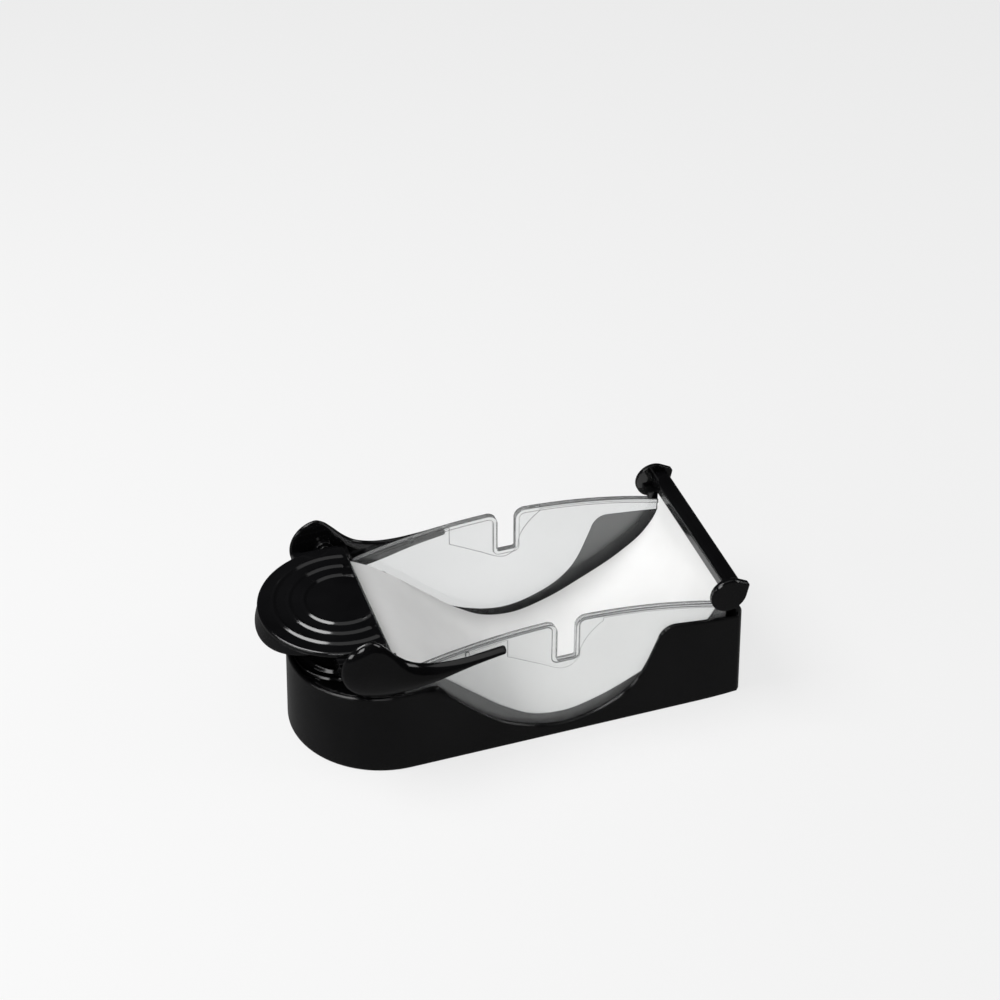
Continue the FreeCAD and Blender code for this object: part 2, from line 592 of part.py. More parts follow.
def lever_arm(side):
    """A round hub that sweeps into a tapering arm, with rounded outer edges."""
    hub_top, hub_low = xz([HUB_TOP, HUB_LOW])
    hub_left = V(HUB_LEFT, 0, (HUB_TOP[1] + HUB_LOW[1]) / 2)
    tip_x = ARM_TIP - ARM_TIP_ROUND
    tip_up, tip_low = V(tip_x, 0, ARM_TIP_TOP), V(tip_x, 0, ARM_TIP_LOW)
    tip = V(ARM_TIP, 0, (ARM_TIP_TOP + ARM_TIP_LOW) / 2)

    def outline(drops, y):
        neck = [V(x, 0, z - drop) for (x, z), drop in zip(NECK, drops)]
        wire = Part.Wire([curve([hub_top] + neck + [tip_up]), arc(tip_up, tip, tip_low),
                          curve([tip_low] + xz(BELLY) + [hub_low]), arc(hub_low, hub_left, hub_top)])
        wire.translate(V(0, y, 0))
        return wire

    hub, thin = ARM_INNER + HUB_THICK, ARM_INNER + ARM_THICK
    left, right, neck_x = HUB_LEFT - PAST, ARM_TIP + PAST, 2 * PIVOT_X - HUB_LEFT
    taper_x, taper = (neck_x + ARM_TIP) / 2, (hub + 2 * thin) / 3
    back = [(left, hub), (PIVOT_X, hub), (neck_x, hub), (taper_x, taper), (right, thin)]
    corners = [V(right, side * thin, 0), V(right, 0, 0), V(left, 0, 0), V(left, side * hub, 0)]
    plan = Part.Wire(arcs([V(x, side * y, 0) for x, y in back]) +
                     [line(a, b) for a, b in zip(corners, corners[1:])])
    blank = [outline(NECK_DROP, side * ARM_INNER), outline([0] * len(NECK), side * (hub + HUB_THICK / 4))]
    arm = Part.makeLoft(blank, True, True).common(Part.Face(plan).extrude(V(0, 0, FAR)))
    half_way = ARM_INNER + HUB_THICK / 2
    arm = bevel(arm, ARM_EDGE, lambda edge: min(abs(edge.BoundBox.YMin), abs(edge.BoundBox.YMax)) > half_way)
    return arm.cut(along_y(PIN_R + PIN_SEAT, PIVOT_X, PIVOT_Z, side, PIN_INNER, half_way))


def pivot_pin(side):
    return along_y(PIN_R, PIVOT_X, PIVOT_Z, side, PIN_INNER, ARM_INNER + HUB_THICK / 2)


def film_clamp():
    return box(YOKE_RIGHT, YOKE_RIGHT + CLAMP_WIDTH, -FILM_HALF, FILM_HALF, CLAMP_Z, CLAMP_Z + CLAMP_THICK)


def roller_bar():
    x0, z0 = BAR_X - BAR_WIDE / 2, BAR_Z - BAR_HIGH / 2
    bar = box(x0, x0 + BAR_WIDE, -BAR_HALF, BAR_HALF, z0, z0 + BAR_HIGH)
    return round_off(bar, BAR_ROUND, lambda edge: edge.BoundBox.YLength > BAR_HALF)


def bar_flange(side):
    """A teardrop end plate with the shoe that rides on the cheek's rim."""
    reach = math.hypot(FLANGE_TIP_X - FLANGE_X, FLANGE_TIP_Z - FLANGE_Z)
    heading = math.atan2(FLANGE_TIP_Z - FLANGE_Z, FLANGE_TIP_X - FLANGE_X)
    spread = math.acos((FLANGE_R - FLANGE_TIP_R) / reach)

    def at(x, z, radius, angle):
        return V(x + radius * math.cos(angle), 0, z + radius * math.sin(angle))

    big = [at(FLANGE_X, FLANGE_Z, FLANGE_R, heading + a) for a in (spread, math.pi, -spread)]
    small = [at(FLANGE_TIP_X, FLANGE_TIP_Z, FLANGE_TIP_R, heading + a) for a in (-spread, 0, spread)]
    wire = Part.Wire([arc(*big), line(big[2], small[0]), arc(*small), line(small[2], big[0])])
    outer = BAR_HALF + FLANGE_THICK
    plate = bevel(on_side(side, wire, BAR_HALF, outer), FLANGE_ROUND, lambda e: lies_at(e, side * outer))
    right = SHOE_LEFT + SHOE_WIDTH
    top = BAR_Z - BAR_HIGH / 2
    sole = [V(x, 0, rail_z(x, SHOE_RUNNING)) for x in (SHOE_LEFT, SHOE_LEFT + SHOE_WIDTH / 2, right)]
    rest = [sole[-1], V(right, 0, top), V(SHOE_LEFT, 0, top), sole[0]]
    shoe = Part.Wire([arc(*sole)] + [line(a, b) for a, b in zip(rest, rest[1:])])
    return plate.fuse(on_side(side, shoe, SHOE_INNER, BAR_HALF)).removeSplitter()


def save(name, shape):
    shape = shape.copy()
    shape.translate(V(-MIDDLE_X, 0, 0))
    shape.exportStep(f"parts/{name}.step")
    print(f"{name}: {len(shape.Solids)} solid(s), {shape.Volume / 1000:.2f} cm3, valid {shape.isValid()}")


def main():
    os.makedirs("parts", exist_ok=True)
    save("base_shell", base_shell())
    save("grip_deck", grip_deck())
    save("base_screws", base_screws())
    for number, (x, y) in enumerate(mirrored_places(FOOT_PLACES), 1):
        save(f"foot_{number}", foot(x, y))
    save("film", film())
    save("film_clamp", film_clamp())
    save("lever_yoke", lever_yoke())
    save("paddle_cap", paddle_cap())
    save("roller_bar", roller_bar())
    for name, side in SIDES.items():
        save(f"clear_cheek_{name}", clear_cheek(side))
        save(f"lever_arm_{name}", lever_arm(side))
        save(f"pivot_pin_{name}", pivot_pin(side))
        save(f"bar_flange_{name}", bar_flange(side))


main()
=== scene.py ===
import math

import bmesh
import bpy
import numpy as np
from mathutils import Matrix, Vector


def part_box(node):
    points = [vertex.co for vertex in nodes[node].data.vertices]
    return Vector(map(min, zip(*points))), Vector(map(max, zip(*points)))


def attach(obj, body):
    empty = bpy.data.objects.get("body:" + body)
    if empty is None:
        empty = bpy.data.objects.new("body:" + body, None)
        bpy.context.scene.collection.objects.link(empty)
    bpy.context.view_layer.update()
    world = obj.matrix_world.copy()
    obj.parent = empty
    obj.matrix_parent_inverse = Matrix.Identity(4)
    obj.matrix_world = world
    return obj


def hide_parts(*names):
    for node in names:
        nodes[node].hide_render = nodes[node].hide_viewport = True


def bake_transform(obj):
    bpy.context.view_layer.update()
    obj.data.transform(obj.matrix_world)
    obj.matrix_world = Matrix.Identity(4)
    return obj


# %% [markdown]
# A countertop press for rice rolls: a black open tub with one round end, two clear cheeks that stand in
# it, a soft white film that hangs between them as a trough, a black lever with a round paddle, and a
# black roller bar. The rigid pieces come ready made from the frame. This lesson gives each of them its
# finish, makes the soft film as a surface of its own, and lights the whole.

# %% Load the frame
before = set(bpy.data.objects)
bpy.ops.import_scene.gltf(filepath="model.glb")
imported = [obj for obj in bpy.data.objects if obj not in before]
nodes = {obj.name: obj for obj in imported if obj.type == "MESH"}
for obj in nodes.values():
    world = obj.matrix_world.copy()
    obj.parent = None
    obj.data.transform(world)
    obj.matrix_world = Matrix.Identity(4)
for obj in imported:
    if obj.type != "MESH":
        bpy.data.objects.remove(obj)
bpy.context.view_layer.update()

# %% [markdown]
# Every piece is placed from the frame, in metres. MM turns a size in millimetres into metres, so that
# the numbers below read as a maker would write them.

# %% Units
MM = 0.001
base_low, base_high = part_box("base_shell")
print("the tub is", [round(v / MM, 1) for v in base_high - base_low], "mm")

# %% [markdown]
# The camera stands where the viewer does: in front of the long side and well above it. Its three axes are
# written as one turn about Z, the azimuth, and one tilt, the elevation. A long lens keeps the press from
# looking stretched.

# %% Camera
CAMERA_PLACE = (-0.33395, -1.0085, 0.9415)
CAMERA_AZIMUTH = math.radians(-18.66)
CAMERA_ELEVATION = math.radians(36.97)
CAMERA_LENS = 81.14
SENSOR = 36.0


def look_matrix(place, azimuth, elevation):
    """Columns right, up and back of a camera that looks down at elevation, turned by azimuth about Z."""
    ca, sa, ce, se = math.cos(azimuth), math.sin(azimuth), math.cos(elevation), math.sin(elevation)
    right, up, back = (ca, sa, 0.0), (-sa * se, ca * se, ce), (sa * ce, -ca * ce, se)
    rows = [[right[i], up[i], back[i], place[i]] for i in range(3)] + [[0.0, 0.0, 0.0, 1.0]]
    return Matrix(rows)


camera = bpy.data.objects.new("camera", bpy.data.cameras.new("camera"))
bpy.context.scene.collection.objects.link(camera)
camera.data.lens, camera.data.sensor_width = CAMERA_LENS, SENSOR
camera.matrix_world = look_matrix(CAMERA_PLACE, CAMERA_AZIMUTH, CAMERA_ELEVATION)
bpy.context.scene.camera = camera
print("the camera stands", round(math.dist(CAMERA_PLACE, (0, 0, 0)), 2), "m away")

# %% [markdown]
# Materials are node trees. A Principled shader takes constants on its own sockets, and noise on the
# object's coordinates varies its colour, roughness and bump a little, because no moulded piece is
# perfectly even. These helpers make the tree, add a noise and remap it to a small range.

# %% Material helpers
def new_material(name, **sockets):
    """A material with a Principled shader whose named sockets hold the given constants."""
    material = bpy.data.materials.new(name)
    material.use_nodes = True
    shader = material.node_tree.nodes["Principled BSDF"]
    for socket, value in sockets.items():
        shader.inputs[socket.replace("_", " ")].default_value = value
    return material, material.node_tree, shader


def noise(tree, scale, detail=3.0, stretch=(1, 1, 1)):
    """Noise over the object's coordinates, so many waves a metre; stretch scales it along each axis."""
    place = tree.nodes.new("ShaderNodeTexCoord")
    mapping = tree.nodes.new("ShaderNodeMapping")
    mapping.inputs["Scale"].default_value = stretch
    texture = tree.nodes.new("ShaderNodeTexNoise")
    texture.inputs["Scale"].default_value = scale
    texture.inputs["Detail"].default_value = detail
    tree.links.new(place.outputs["Object"], mapping.inputs["Vector"])
    tree.links.new(mapping.outputs["Vector"], texture.inputs["Vector"])
    return texture.outputs["Fac"]


def remap(tree, value, low, high):
    """A value from 0 to 1 carried to the range low to high."""
    node = tree.nodes.new("ShaderNodeMapRange")
    node.inputs["To Min"].default_value = low
    node.inputs["To Max"].default_value = high
    tree.links.new(value, node.inputs["Value"])
    return node.outputs["Result"]


def two_tone(tree, value, dark, light):
    """A colour that runs from dark to light as value goes from 0.3 to 0.7."""
    ramp = tree.nodes.new("ShaderNodeValToRGB")
    ramp.color_ramp.elements[0].position, ramp.color_ramp.elements[1].position = 0.3, 0.7
    ramp.color_ramp.elements[0].color = (*dark, 1)
    ramp.color_ramp.elements[1].color = (*light, 1)
    tree.links.new(value, ramp.inputs["Fac"])
    return ramp.outputs["Color"]


def bump(tree, shader, height, strength, distance, edge=0.0):
    """Tilts the shader's normal by the slope of height, whose full swing is distance metres. With an edge,
    the normal first turns smoothly over every corner, as if it were rounded by that radius."""
    node = tree.nodes.new("ShaderNodeBump")
    node.inputs["Strength"].default_value = strength
    node.inputs["Distance"].default_value = distance
    tree.links.new(height, node.inputs["Height"])
    if edge:
        corner = tree.nodes.new("ShaderNodeBevel")
        corner.samples = 6
        corner.inputs["Radius"].default_value = edge
        tree.links.new(corner.outputs["Normal"], node.inputs["Normal"])
    tree.links.new(node.outputs["Normal"], shader.inputs["Normal"])


def finish_with(material, names):
    for name in names:
        slots = nodes[name].data.materials
        slots.clear()
        slots.append(material)
    print(material.name, "on", len(names), "nodes")


# %% [markdown]
# Glossy black plastic: the tub, the deck, the lever and the roller bar. The colour is nearly black with
# a faint cloudiness, the roughness wanders where fingers wipe it, and a very shallow, wide wave in the
# surface bends the reflections as moulded walls do.

# %% Black plastic
def black_plastic(name, gloss, rough_low, rough_high, edge):
    material, tree, shader = new_material(name, IOR=1.5, Specular_IOR_Level=gloss)
    cloud = two_tone(tree, noise(tree, 30), (0.0022, 0.0022, 0.0025), (0.0042, 0.0042, 0.0046))
    tree.links.new(cloud, shader.inputs["Base Color"])
    smear = noise(tree, 55, 5.0, (1, 1, 0.4))
    tree.links.new(remap(tree, smear, rough_low, rough_high), shader.inputs["Roughness"])
    bump(tree, shader, noise(tree, 140, 2.0), 0.1, 0.2 * MM, edge)
    return material


shell_black = black_plastic("shell black", 0.45, 0.09, 0.15, 2.4 * MM)
lever_black = black_plastic("lever black", 0.5, 0.06, 0.13, 1.0 * MM)
finish_with(shell_black, ["base_shell"])
finish_with(lever_black, ["grip_deck", "lever_yoke", "pivot_pin_front", "pivot_pin_back", "roller_bar",
                          "bar_flange_front", "bar_flange_back"])

# %% [markdown]
# The cheeks and the strip that holds the film are clear moulded plastic. It is glass to the shader, with
# the refraction of acrylic, a hint of grey, and slow waves left by the mould. Along its edges clear plastic
# looks darker. Here that darkening is painted shade, which a mask draws as a dark tint in the colour. The Bevel
# node turns the normal near an edge, so the dot product of the turned and the true normal is one on a flat and
# falls near an edge.

# %% Clear plastic
# painted shade: how wide and how dark the tint is that darkens the clear plastic along its edges
PAINTED_EDGE_SHADE_WIDTH = 1.1 * MM
PAINTED_EDGE_SHADE = (0.06, 0.062, 0.065)
DOT_ON_FLAT, DOT_AT_EDGE = 0.99, 0.87    # where the mask starts and where it is full
COLOUR_A, COLOUR_B, COLOUR_OUT = 6, 7, 2    # the Mix node's sockets for colours share their names with others


def painted_edge_shade_mask(tree, width):
    """0 on a flat, growing to 1 within width of an edge: where the painted edge shade lies."""
    turned, true = tree.nodes.new("ShaderNodeBevel"), tree.nodes.new("ShaderNodeNewGeometry")
    turned.samples = 8
    turned.inputs["Radius"].default_value = width
    dot = tree.nodes.new("ShaderNodeVectorMath")
    dot.operation = "DOT_PRODUCT"
    tree.links.new(turned.outputs["Normal"], dot.inputs[0])
    tree.links.new(true.outputs["Normal"], dot.inputs[1])
    node = tree.nodes.new("ShaderNodeMapRange")
    for socket, value in (("From Min", DOT_ON_FLAT), ("From Max", DOT_AT_EDGE), ("To Min", 0.0), ("To Max", 1.0)):
        node.inputs[socket].default_value = value
    tree.links.new(dot.outputs["Value"], node.inputs["Value"])
    return node.outputs["Result"]


def clear_plastic():
    material, tree, shader = new_material("clear plastic", IOR=1.49, Transmission_Weight=0.9)
    tint = two_tone(tree, noise(tree, 12), (0.90, 0.91, 0.91), (0.94, 0.95, 0.95))
    shade = tree.nodes.new("ShaderNodeMix")
    shade.data_type = "RGBA"
    # painted shade: the mask mixes a dark tint into the colour along every edge
    tree.links.new(painted_edge_shade_mask(tree, PAINTED_EDGE_SHADE_WIDTH), shade.inputs["Factor"])
    tree.links.new(tint, shade.inputs[COLOUR_A])
    shade.inputs[COLOUR_B].default_value = (*PAINTED_EDGE_SHADE, 1)
    tree.links.new(shade.outputs[COLOUR_OUT], shader.inputs["Base Color"])
    tree.links.new(remap(tree, noise(tree, 60), 0.04, 0.09), shader.inputs["Roughness"])
    bump(tree, shader, noise(tree, 45, 1.0), 0.1, 0.15 * MM, 1.0 * MM)
    return material


finish_with(clear_plastic(), ["clear_cheek_front", "clear_cheek_back", "film_clamp"])

# %% [markdown]
# Two small finishes stay mostly out of sight: plain steel for the screws under the tub, and soft dark
# rubber with a fine grain for the feet.

# %% Steel and rubber
def screw_steel():
    material, tree, shader = new_material("screw steel", Metallic=1.0)
    shade = two_tone(tree, noise(tree, 900, 2.0), (0.45, 0.45, 0.46), (0.66, 0.66, 0.67))
    tree.links.new(shade, shader.inputs["Base Color"])
    tree.links.new(remap(tree, noise(tree, 1500), 0.25, 0.4), shader.inputs["Roughness"])
    return material


def foot_rubber():
    material, tree, shader = new_material("foot rubber", IOR=1.5)
    shade = two_tone(tree, noise(tree, 400), (0.03, 0.03, 0.03), (0.055, 0.055, 0.055))
    tree.links.new(shade, shader.inputs["Base Color"])
    tree.links.new(remap(tree, noise(tree, 500), 0.7, 0.9), shader.inputs["Roughness"])
    bump(tree, shader, noise(tree, 1800), 0.3, 0.05 * MM)
    return material


finish_with(screw_steel(), ["base_screws"])
finish_with(foot_rubber(), [f"foot_{n}" for n in range(1, 5)])

# %% [markdown]
# The lever's hubs and arms are one sweeping form each, as smooth as a pebble, so they are made as surfaces.
# The side view is a closed outline. Its upper and lower lines run from the hub's middle to the arm's tip,
# and both are read at the same places, so that the two sides of the pebble meet on one spine between them.

# %% Side view of an arm
MIDDLE = -29.05             # the notches' middle lies so far from the press's middle, in millimetres
HUB_X, TIP_X = -124.5, -41.0
ARM_UPPER = np.array([(-124.5, 104.7), (-120.8, 105.3), (-116.4, 103.3), (-110.8, 97.8), (-104.4, 90.6),
                      (-97.4, 84.8), (-86.0, 80.3), (-72.0, 78.5), (-57.0, 78.8), (-41.0, 80.3)])
ARM_LOWER = np.array([(-126.0, 66.4), (-117.5, 63.9), (-106.0, 62.9), (-93.5, 64.0), (-81.0, 66.6),
                      (-60.0, 72.2), (-41.0, 75.8)])
HUB_SIDE = (-138.3, 85.9)
TIP_END = (-38.9, 78.05)


def smooth_line(points, t):
    """Cubic pieces through the points; each point's slope is that of the chord between its neighbours.
    t runs from 0 to 1 by the length along the straight runs between them."""
    steps = np.linalg.norm(np.diff(points, axis=0), axis=1)
    at = np.concatenate([[0.0], np.cumsum(steps)]) / steps.sum()
    slope = np.gradient(points, at, axis=0)
    i = np.clip(np.searchsorted(at, t, side="right") - 1, 0, len(points) - 2)
    width = (at[i + 1] - at[i])[:, None]
    s = ((t - at[i]) / (at[i + 1] - at[i]))[:, None]
    blend_a, blend_b = 2 * s**3 - 3 * s**2 + 1, 3 * s**2 - 2 * s**3
    lean_a, lean_b = s**3 - 2 * s**2 + s, s**3 - s**2
    return (blend_a * points[i] + blend_b * points[i + 1]
            + width * (lean_a * slope[i] + lean_b * slope[i + 1]))


def height_on(points, x):
    """The height of the smooth line through the points at each x."""
    fine = smooth_line(points, np.linspace(0, 1, 400))
    return np.interp(x, fine[:, 0], fine[:, 1])


def arc_through(a, b, c, count):
    """Points on the circle from a through b to c, at equal turns."""
    a, b, c = (complex(*point) for point in (a, b, c))
    w = (c - a) / (b - a)
    centre = a + (b - a) * (w - abs(w) ** 2) / (2j * w.imag)
    start, finish = np.angle(a - centre), np.angle(c - centre)
    turn = (finish - start) % (2 * math.pi)
    passes = ((np.angle(b - centre) - start) % (2 * math.pi)) < turn
    turn = turn if passes else turn - 2 * math.pi
    spot = centre + abs(a - centre) * np.exp(1j * (start + turn * np.linspace(0, 1, count)))
    return np.stack([spot.real, spot.imag], 1)


print("the hub's outline turns about", arc_through((0, 1), (-1, 0), (0, -1), 3).round(2).tolist()[1])

# %% [markdown]
# The outline is now one closed ring of points, and each has a partner on the spine: the middle between the
# upper and lower lines for the long sides, the hub's middle for the hub's round, and the tip's for the tip.

# %% Ring and spine of an arm
LENGTH_STEPS = 90


def arm_ring():
    """(outline, spine): the closed ring of (x, z) points, and for each the spine point that it belongs to."""
    x = np.linspace(HUB_X, TIP_X, LENGTH_STEPS)
    upper = np.stack([x, height_on(ARM_UPPER, x)], 1)
    lower = np.stack([x, height_on(ARM_LOWER, x)], 1)
    spine = (upper + lower) / 2
    tip = arc_through(upper[-1], TIP_END, lower[-1], 24)[1:-1]
    hub = arc_through(lower[0], HUB_SIDE, upper[0], 90)[1:-1]
    outline = np.concatenate([upper, tip, lower[::-1], hub])
    partner = np.concatenate([spine, np.repeat(spine[-1:], len(tip), 0),
                              spine[::-1], np.repeat(spine[:1], len(hub), 0)])
    return outline, partner


outline, partner = arm_ring()
print("the ring has", len(outline), "points and is", round(float(np.ptp(outline[:, 0]))), "mm long")

# %% [markdown]
# Seen end on, the pebble is a superellipse: a circle's sine and cosine, each raised to a power below one,
# which makes the shape squarer. Going once from the outer side over the outline to the inner side gives the
# grid's second direction. The outer half is round and the inner half, which faces the cheek, nearly flat.

# %% Pebble surface
TURN_STEPS = 40


def squared(value, power):
    """A sine or cosine raised to 2 / power, with its sign kept."""
    return np.sign(value) * np.abs(value) ** (2 / power)


def pebble(ring, spine, inner, middle, outer, inner_power, outer_power, drop=0.0):
    """Grid (ring point, turn) of (x, y, z) in millimetres. With turn from 0 to half a circle, a point lies
    sine of the way from spine to ring, and cosine of the way from the middle layer to the outer or the
    inner side. drop lowers the upper outline on the inner side."""
    turn = np.linspace(0, math.pi, TURN_STEPS)
    outwards = turn < math.pi / 2
    power = np.where(outwards, outer_power, inner_power)
    reach = squared(np.sin(turn), power)
    depth = squared(np.cos(turn), power)
    depth[[0, -1]], reach[[0, -1]] = (1, -1), 0
    span = np.where(outwards[None, :], (outer - middle)[:, None], (middle - inner)[:, None])
    y = middle[:, None] + span * depth[None, :]
    flat = spine[:, None, :] + (ring - spine)[:, None, :] * reach[None, :, None]
    lift = np.clip((ring - spine)[:, 1], 0, None) / np.abs(ring - spine)[:, 1].clip(1e-6)
    sunk = np.where(outwards, 0.0, -depth)[None, :] * (np.broadcast_to(drop, len(ring)) * lift)[:, None]
    return np.stack([flat[:, :, 0], y, flat[:, :, 1] - sunk * reach[None, :]], 2)


print("a superellipse of power 4 is", round(float(squared(math.cos(math.pi / 4), 4)), 2), "at its corner")

# %% [markdown]
# A closed mesh from such a grid: quads between neighbours, with the ring closed on itself. Along the spine
# the points of both sides fall on each other, so doubles are merged, and the normals are made to face out.

# %% Mesh from a closed grid
def solid_from_grid(name, grid, body, node, material):
    """Builds the grid (ring, turn) of millimetre points as one closed, smooth mesh that stands for a node."""
    rings, turns = grid.shape[:2]
    a = np.arange(rings * turns).reshape(rings, turns)
    b = np.roll(a, -1, axis=0)
    quads = np.stack([a[:, :-1], a[:, 1:], b[:, 1:], b[:, :-1]], 2).reshape(-1, 4)
    points = (grid.reshape(-1, 3) - (MIDDLE, 0, 0)) * MM
    mesh = bpy.data.meshes.new(name)
    mesh.from_pydata(points.tolist(), [], quads.tolist())
    build = bmesh.new()
    build.from_mesh(mesh)
    bmesh.ops.remove_doubles(build, verts=build.verts, dist=0.002 * MM)
    bmesh.ops.dissolve_degenerate(build, dist=0.002 * MM, edges=build.edges)
    bmesh.ops.recalc_face_normals(build, faces=build.faces)
    build.to_mesh(mesh)
    build.free()
    mesh.polygons.foreach_set("use_smooth", np.ones(len(mesh.polygons), bool))
    mesh.materials.append(material)
    made = bpy.data.objects.new(name, mesh)
    bpy.context.scene.collection.objects.link(made)
    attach(made, body)
    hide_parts(node)
    return made


print("grids become meshes of quads")

# %% [markdown]
# The two arms mirror each other. Their inner side lies flat beside the cheek; the hub stands out further
# than the arm, and the upper line sinks towards the cheek where the hub sweeps into the arm.

# %% Lever arms
ARM_INNER, HUB_THICK, ARM_THICK = 58.6, 8.0, 5.4
ARM_MIDDLE = 0.2            # share of the thickness on the cheek's side of the outline
NECK_X = np.array([-121.0, -116.4, -110.8, -104.4, -97.4, -86.0, -72.0, -57.0, -41.0])
NECK_DROP = np.array([0.0, 0.0, 0.5, 2.0, 4.0, 6.0, 3.0, 0.6, 0.0])
fall = np.clip((partner[:, 0] - -100.0) / 60.0, 0, 1)
fall = fall * fall * (3 - 2 * fall)
thick = HUB_THICK + (ARM_THICK - HUB_THICK) * fall
drop = np.interp(partner[:, 0], NECK_X, NECK_DROP)
arm_grid = pebble(outline, partner, np.full(len(thick), ARM_INNER), ARM_INNER + ARM_MIDDLE * thick,
                  ARM_INNER + thick, 6.0, 1.75, drop)
for name, side in (("front", -1), ("back", 1)):
    arm = solid_from_grid("arm_" + name, arm_grid * (1, side, 1), "lever", "lever_arm_" + name, lever_black)
    print(arm.name, "has", len(arm.data.polygons), "faces")

# %% [markdown]
# The paddle is a round plate with three raised rings, cut straight along the film. In polar terms every
# direction has its own reach: the disc's radius, or the distance to the straight cut where that is less.
# The surface runs from the middle of the top out to the edge, round it, and back under to the middle.

# %% Paddle surface
PADDLE_X, PADDLE_R, PADDLE_CUT = -121.5, 50.3, -107.5
PADDLE_TOP, PADDLE_LOW = 91.0, 88.0
RINGS = np.array([22.7, 31.5, 40.7])
RING_HIGH, RING_WIDE = 1.1, 1.8
EDGE_ROUND = 1.4
ANGLE_STEPS, RADIUS_STEPS = 300, 150


def paddle_grid():
    """Grid (angle, step): radius r grows to the edge and comes back. Over the top the height is the plate's
    plus, for every ring, its height times one less the distance from it over its half width, where that is
    positive: two even flanks that meet in a crest. The rings fade out at the edge."""
    angle = np.linspace(0, 2 * math.pi, ANGLE_STEPS, endpoint=False)
    cosine = np.cos(angle)
    cut = (PADDLE_CUT - PADDLE_X) / np.where(cosine > 1e-3, cosine, np.inf)
    reach = np.where(cosine > 1e-3, np.minimum(cut, PADDLE_R), PADDLE_R)[:, None]
    out = np.linspace(0, 1, RADIUS_STEPS)[None, :] * (reach - EDGE_ROUND)
    bend = np.linspace(0, math.pi / 2, 8)[None, 1:]
    over = reach - EDGE_ROUND + EDGE_ROUND * np.sin(bend)
    back = np.linspace(1, 0, 12)[None, :] * (reach - 0.4)
    fade = np.clip((reach - EDGE_ROUND - out) / 1.5, 0, 1)
    rings = RING_HIGH * np.clip(1 - np.abs(out[:, :, None] - RINGS) / RING_WIDE, 0, 1).sum(2)
    top = PADDLE_TOP + rings * fade
    side = PADDLE_TOP - EDGE_ROUND * (1 - np.cos(bend)) + 0 * reach
    under = np.full_like(back, PADDLE_LOW)
    lip = reach, np.full_like(reach, PADDLE_LOW + 0.4)
    radius = np.concatenate([out, over, lip[0], back], 1)
    height = np.concatenate([top, side, lip[1], under], 1)
    x = PADDLE_X + radius * cosine[:, None]
    y = radius * np.sin(angle)[:, None]
    return np.stack([x, y, height], 2)


paddle = solid_from_grid("paddle", paddle_grid(), "lever", "paddle_cap", lever_black)
print("the paddle has", len(paddle.data.polygons), "faces")

# %% [markdown]
# The film is one soft white sheet, so it is made here as a surface and stands in for the frame's stiff
# one. Its side view is a smooth line through a few given points; across it, the sheet is a thin
# slab with round edges that dips a hair in the middle. It is made in two halves that meet at the bottom
# of the trough.

# %% The film's line
FILM_HALF = 48.8
FILM_THICK = 0.6
FILM_LINE = np.array([(-103.0, 78.0), (-92.0, 71.5), (-79.0, 61.5), (-55.0, 40.0), (-35.0, 22.8),
                      (-17.0, 12.2), (2.0, 9.4), (24.0, 14.4), (48.6, 25.4), (75.8, 40.6), (90.0, 52.0),
                      (98.5, 64.5), (102.6, 78.3)])


line = smooth_line(FILM_LINE, np.linspace(0, 1, 241))
print("the film is", round(float(np.linalg.norm(np.diff(line, axis=0), axis=1).sum())), "mm long")

# %% [markdown]
# The sheet's section runs once round it: over the top, round one edge, back underneath and round the
# other. Carried along the line it gives a closed tube, whose two ends are closed by a fan of faces.

# %% The film's surface
DIP = 0.5                   # how far the sheet sags across its width, in millimetres
ACROSS_STEPS = 48
EDGE_STEPS = 6


def section():
    """Points (y, n) once round the sheet: n is the height over its middle layer, in millimetres."""
    r = FILM_THICK / 2
    flat = np.linspace(-1, 1, ACROSS_STEPS) * (FILM_HALF - r)
    turn = np.linspace(0, math.pi, EDGE_STEPS + 2)[1:-1]
    top = np.stack([flat, np.full_like(flat, r)], 1)
    right = np.stack([FILM_HALF - r + r * np.sin(turn), r * np.cos(turn)], 1)
    return np.concatenate([top, right, -top, -right])


def tube(path, profile):
    """Carries the profile along the path (x, z): each point is path + n times the normal, at its own y.
    The dip is DIP times one less the square of y over half the width, and fades out at both film ends."""
    ahead = np.gradient(path, axis=0)
    ahead /= np.linalg.norm(ahead, axis=1)[:, None]
    normal = np.stack([-ahead[:, 1], ahead[:, 0]], 1)
    y, n = profile[:, 0], profile[:, 1]
    fade = np.clip((FILM_LINE[-1, 1] - path[:, 1]) / 30, 0, 1)
    sag = DIP * fade[:, None] * (1 - (y / FILM_HALF) ** 2)[None, :]
    off = n[None, :] - sag - FILM_THICK / 2
    x = path[:, 0, None] + off * normal[:, 0, None] - MIDDLE
    z = path[:, 1, None] + off * normal[:, 1, None]
    return np.stack([x, np.broadcast_to(y, x.shape), z], 2) * MM


def closed_tube(name, grid):
    """A mesh from a grid of rings: quads between neighbours, and one flat face on each end."""
    rings, around = grid.shape[:2]
    a = np.arange(rings * around).reshape(rings, around)
    b = np.roll(a, -1, axis=1)
    quads = np.stack([a[:-1], a[1:], b[1:], b[:-1]], 2).reshape(-1, 4)
    faces = quads.tolist() + [a[0].tolist(), a[-1][::-1].tolist()]
    mesh = bpy.data.meshes.new(name)
    mesh.from_pydata(grid.reshape(-1, 3).tolist(), [], faces)
    mesh.polygons.foreach_set("use_smooth", np.concatenate([np.ones(len(quads), bool), [False, False]]))
    ring_of = np.empty(len(mesh.edges) * 2, int)
    mesh.edges.foreach_get("vertices", ring_of)
    ring_of = (ring_of // around).reshape(-1, 2)
    on_end = (ring_of[:, 0] == ring_of[:, 1]) & np.isin(ring_of[:, 0], (0, rings - 1))
    mesh.attributes.new("sharp_edge", "BOOLEAN", "EDGE").data.foreach_set("value", on_end)
    mesh.update()
    made = bpy.data.objects.new(name, mesh)
    bpy.context.scene.collection.objects.link(made)
    return made


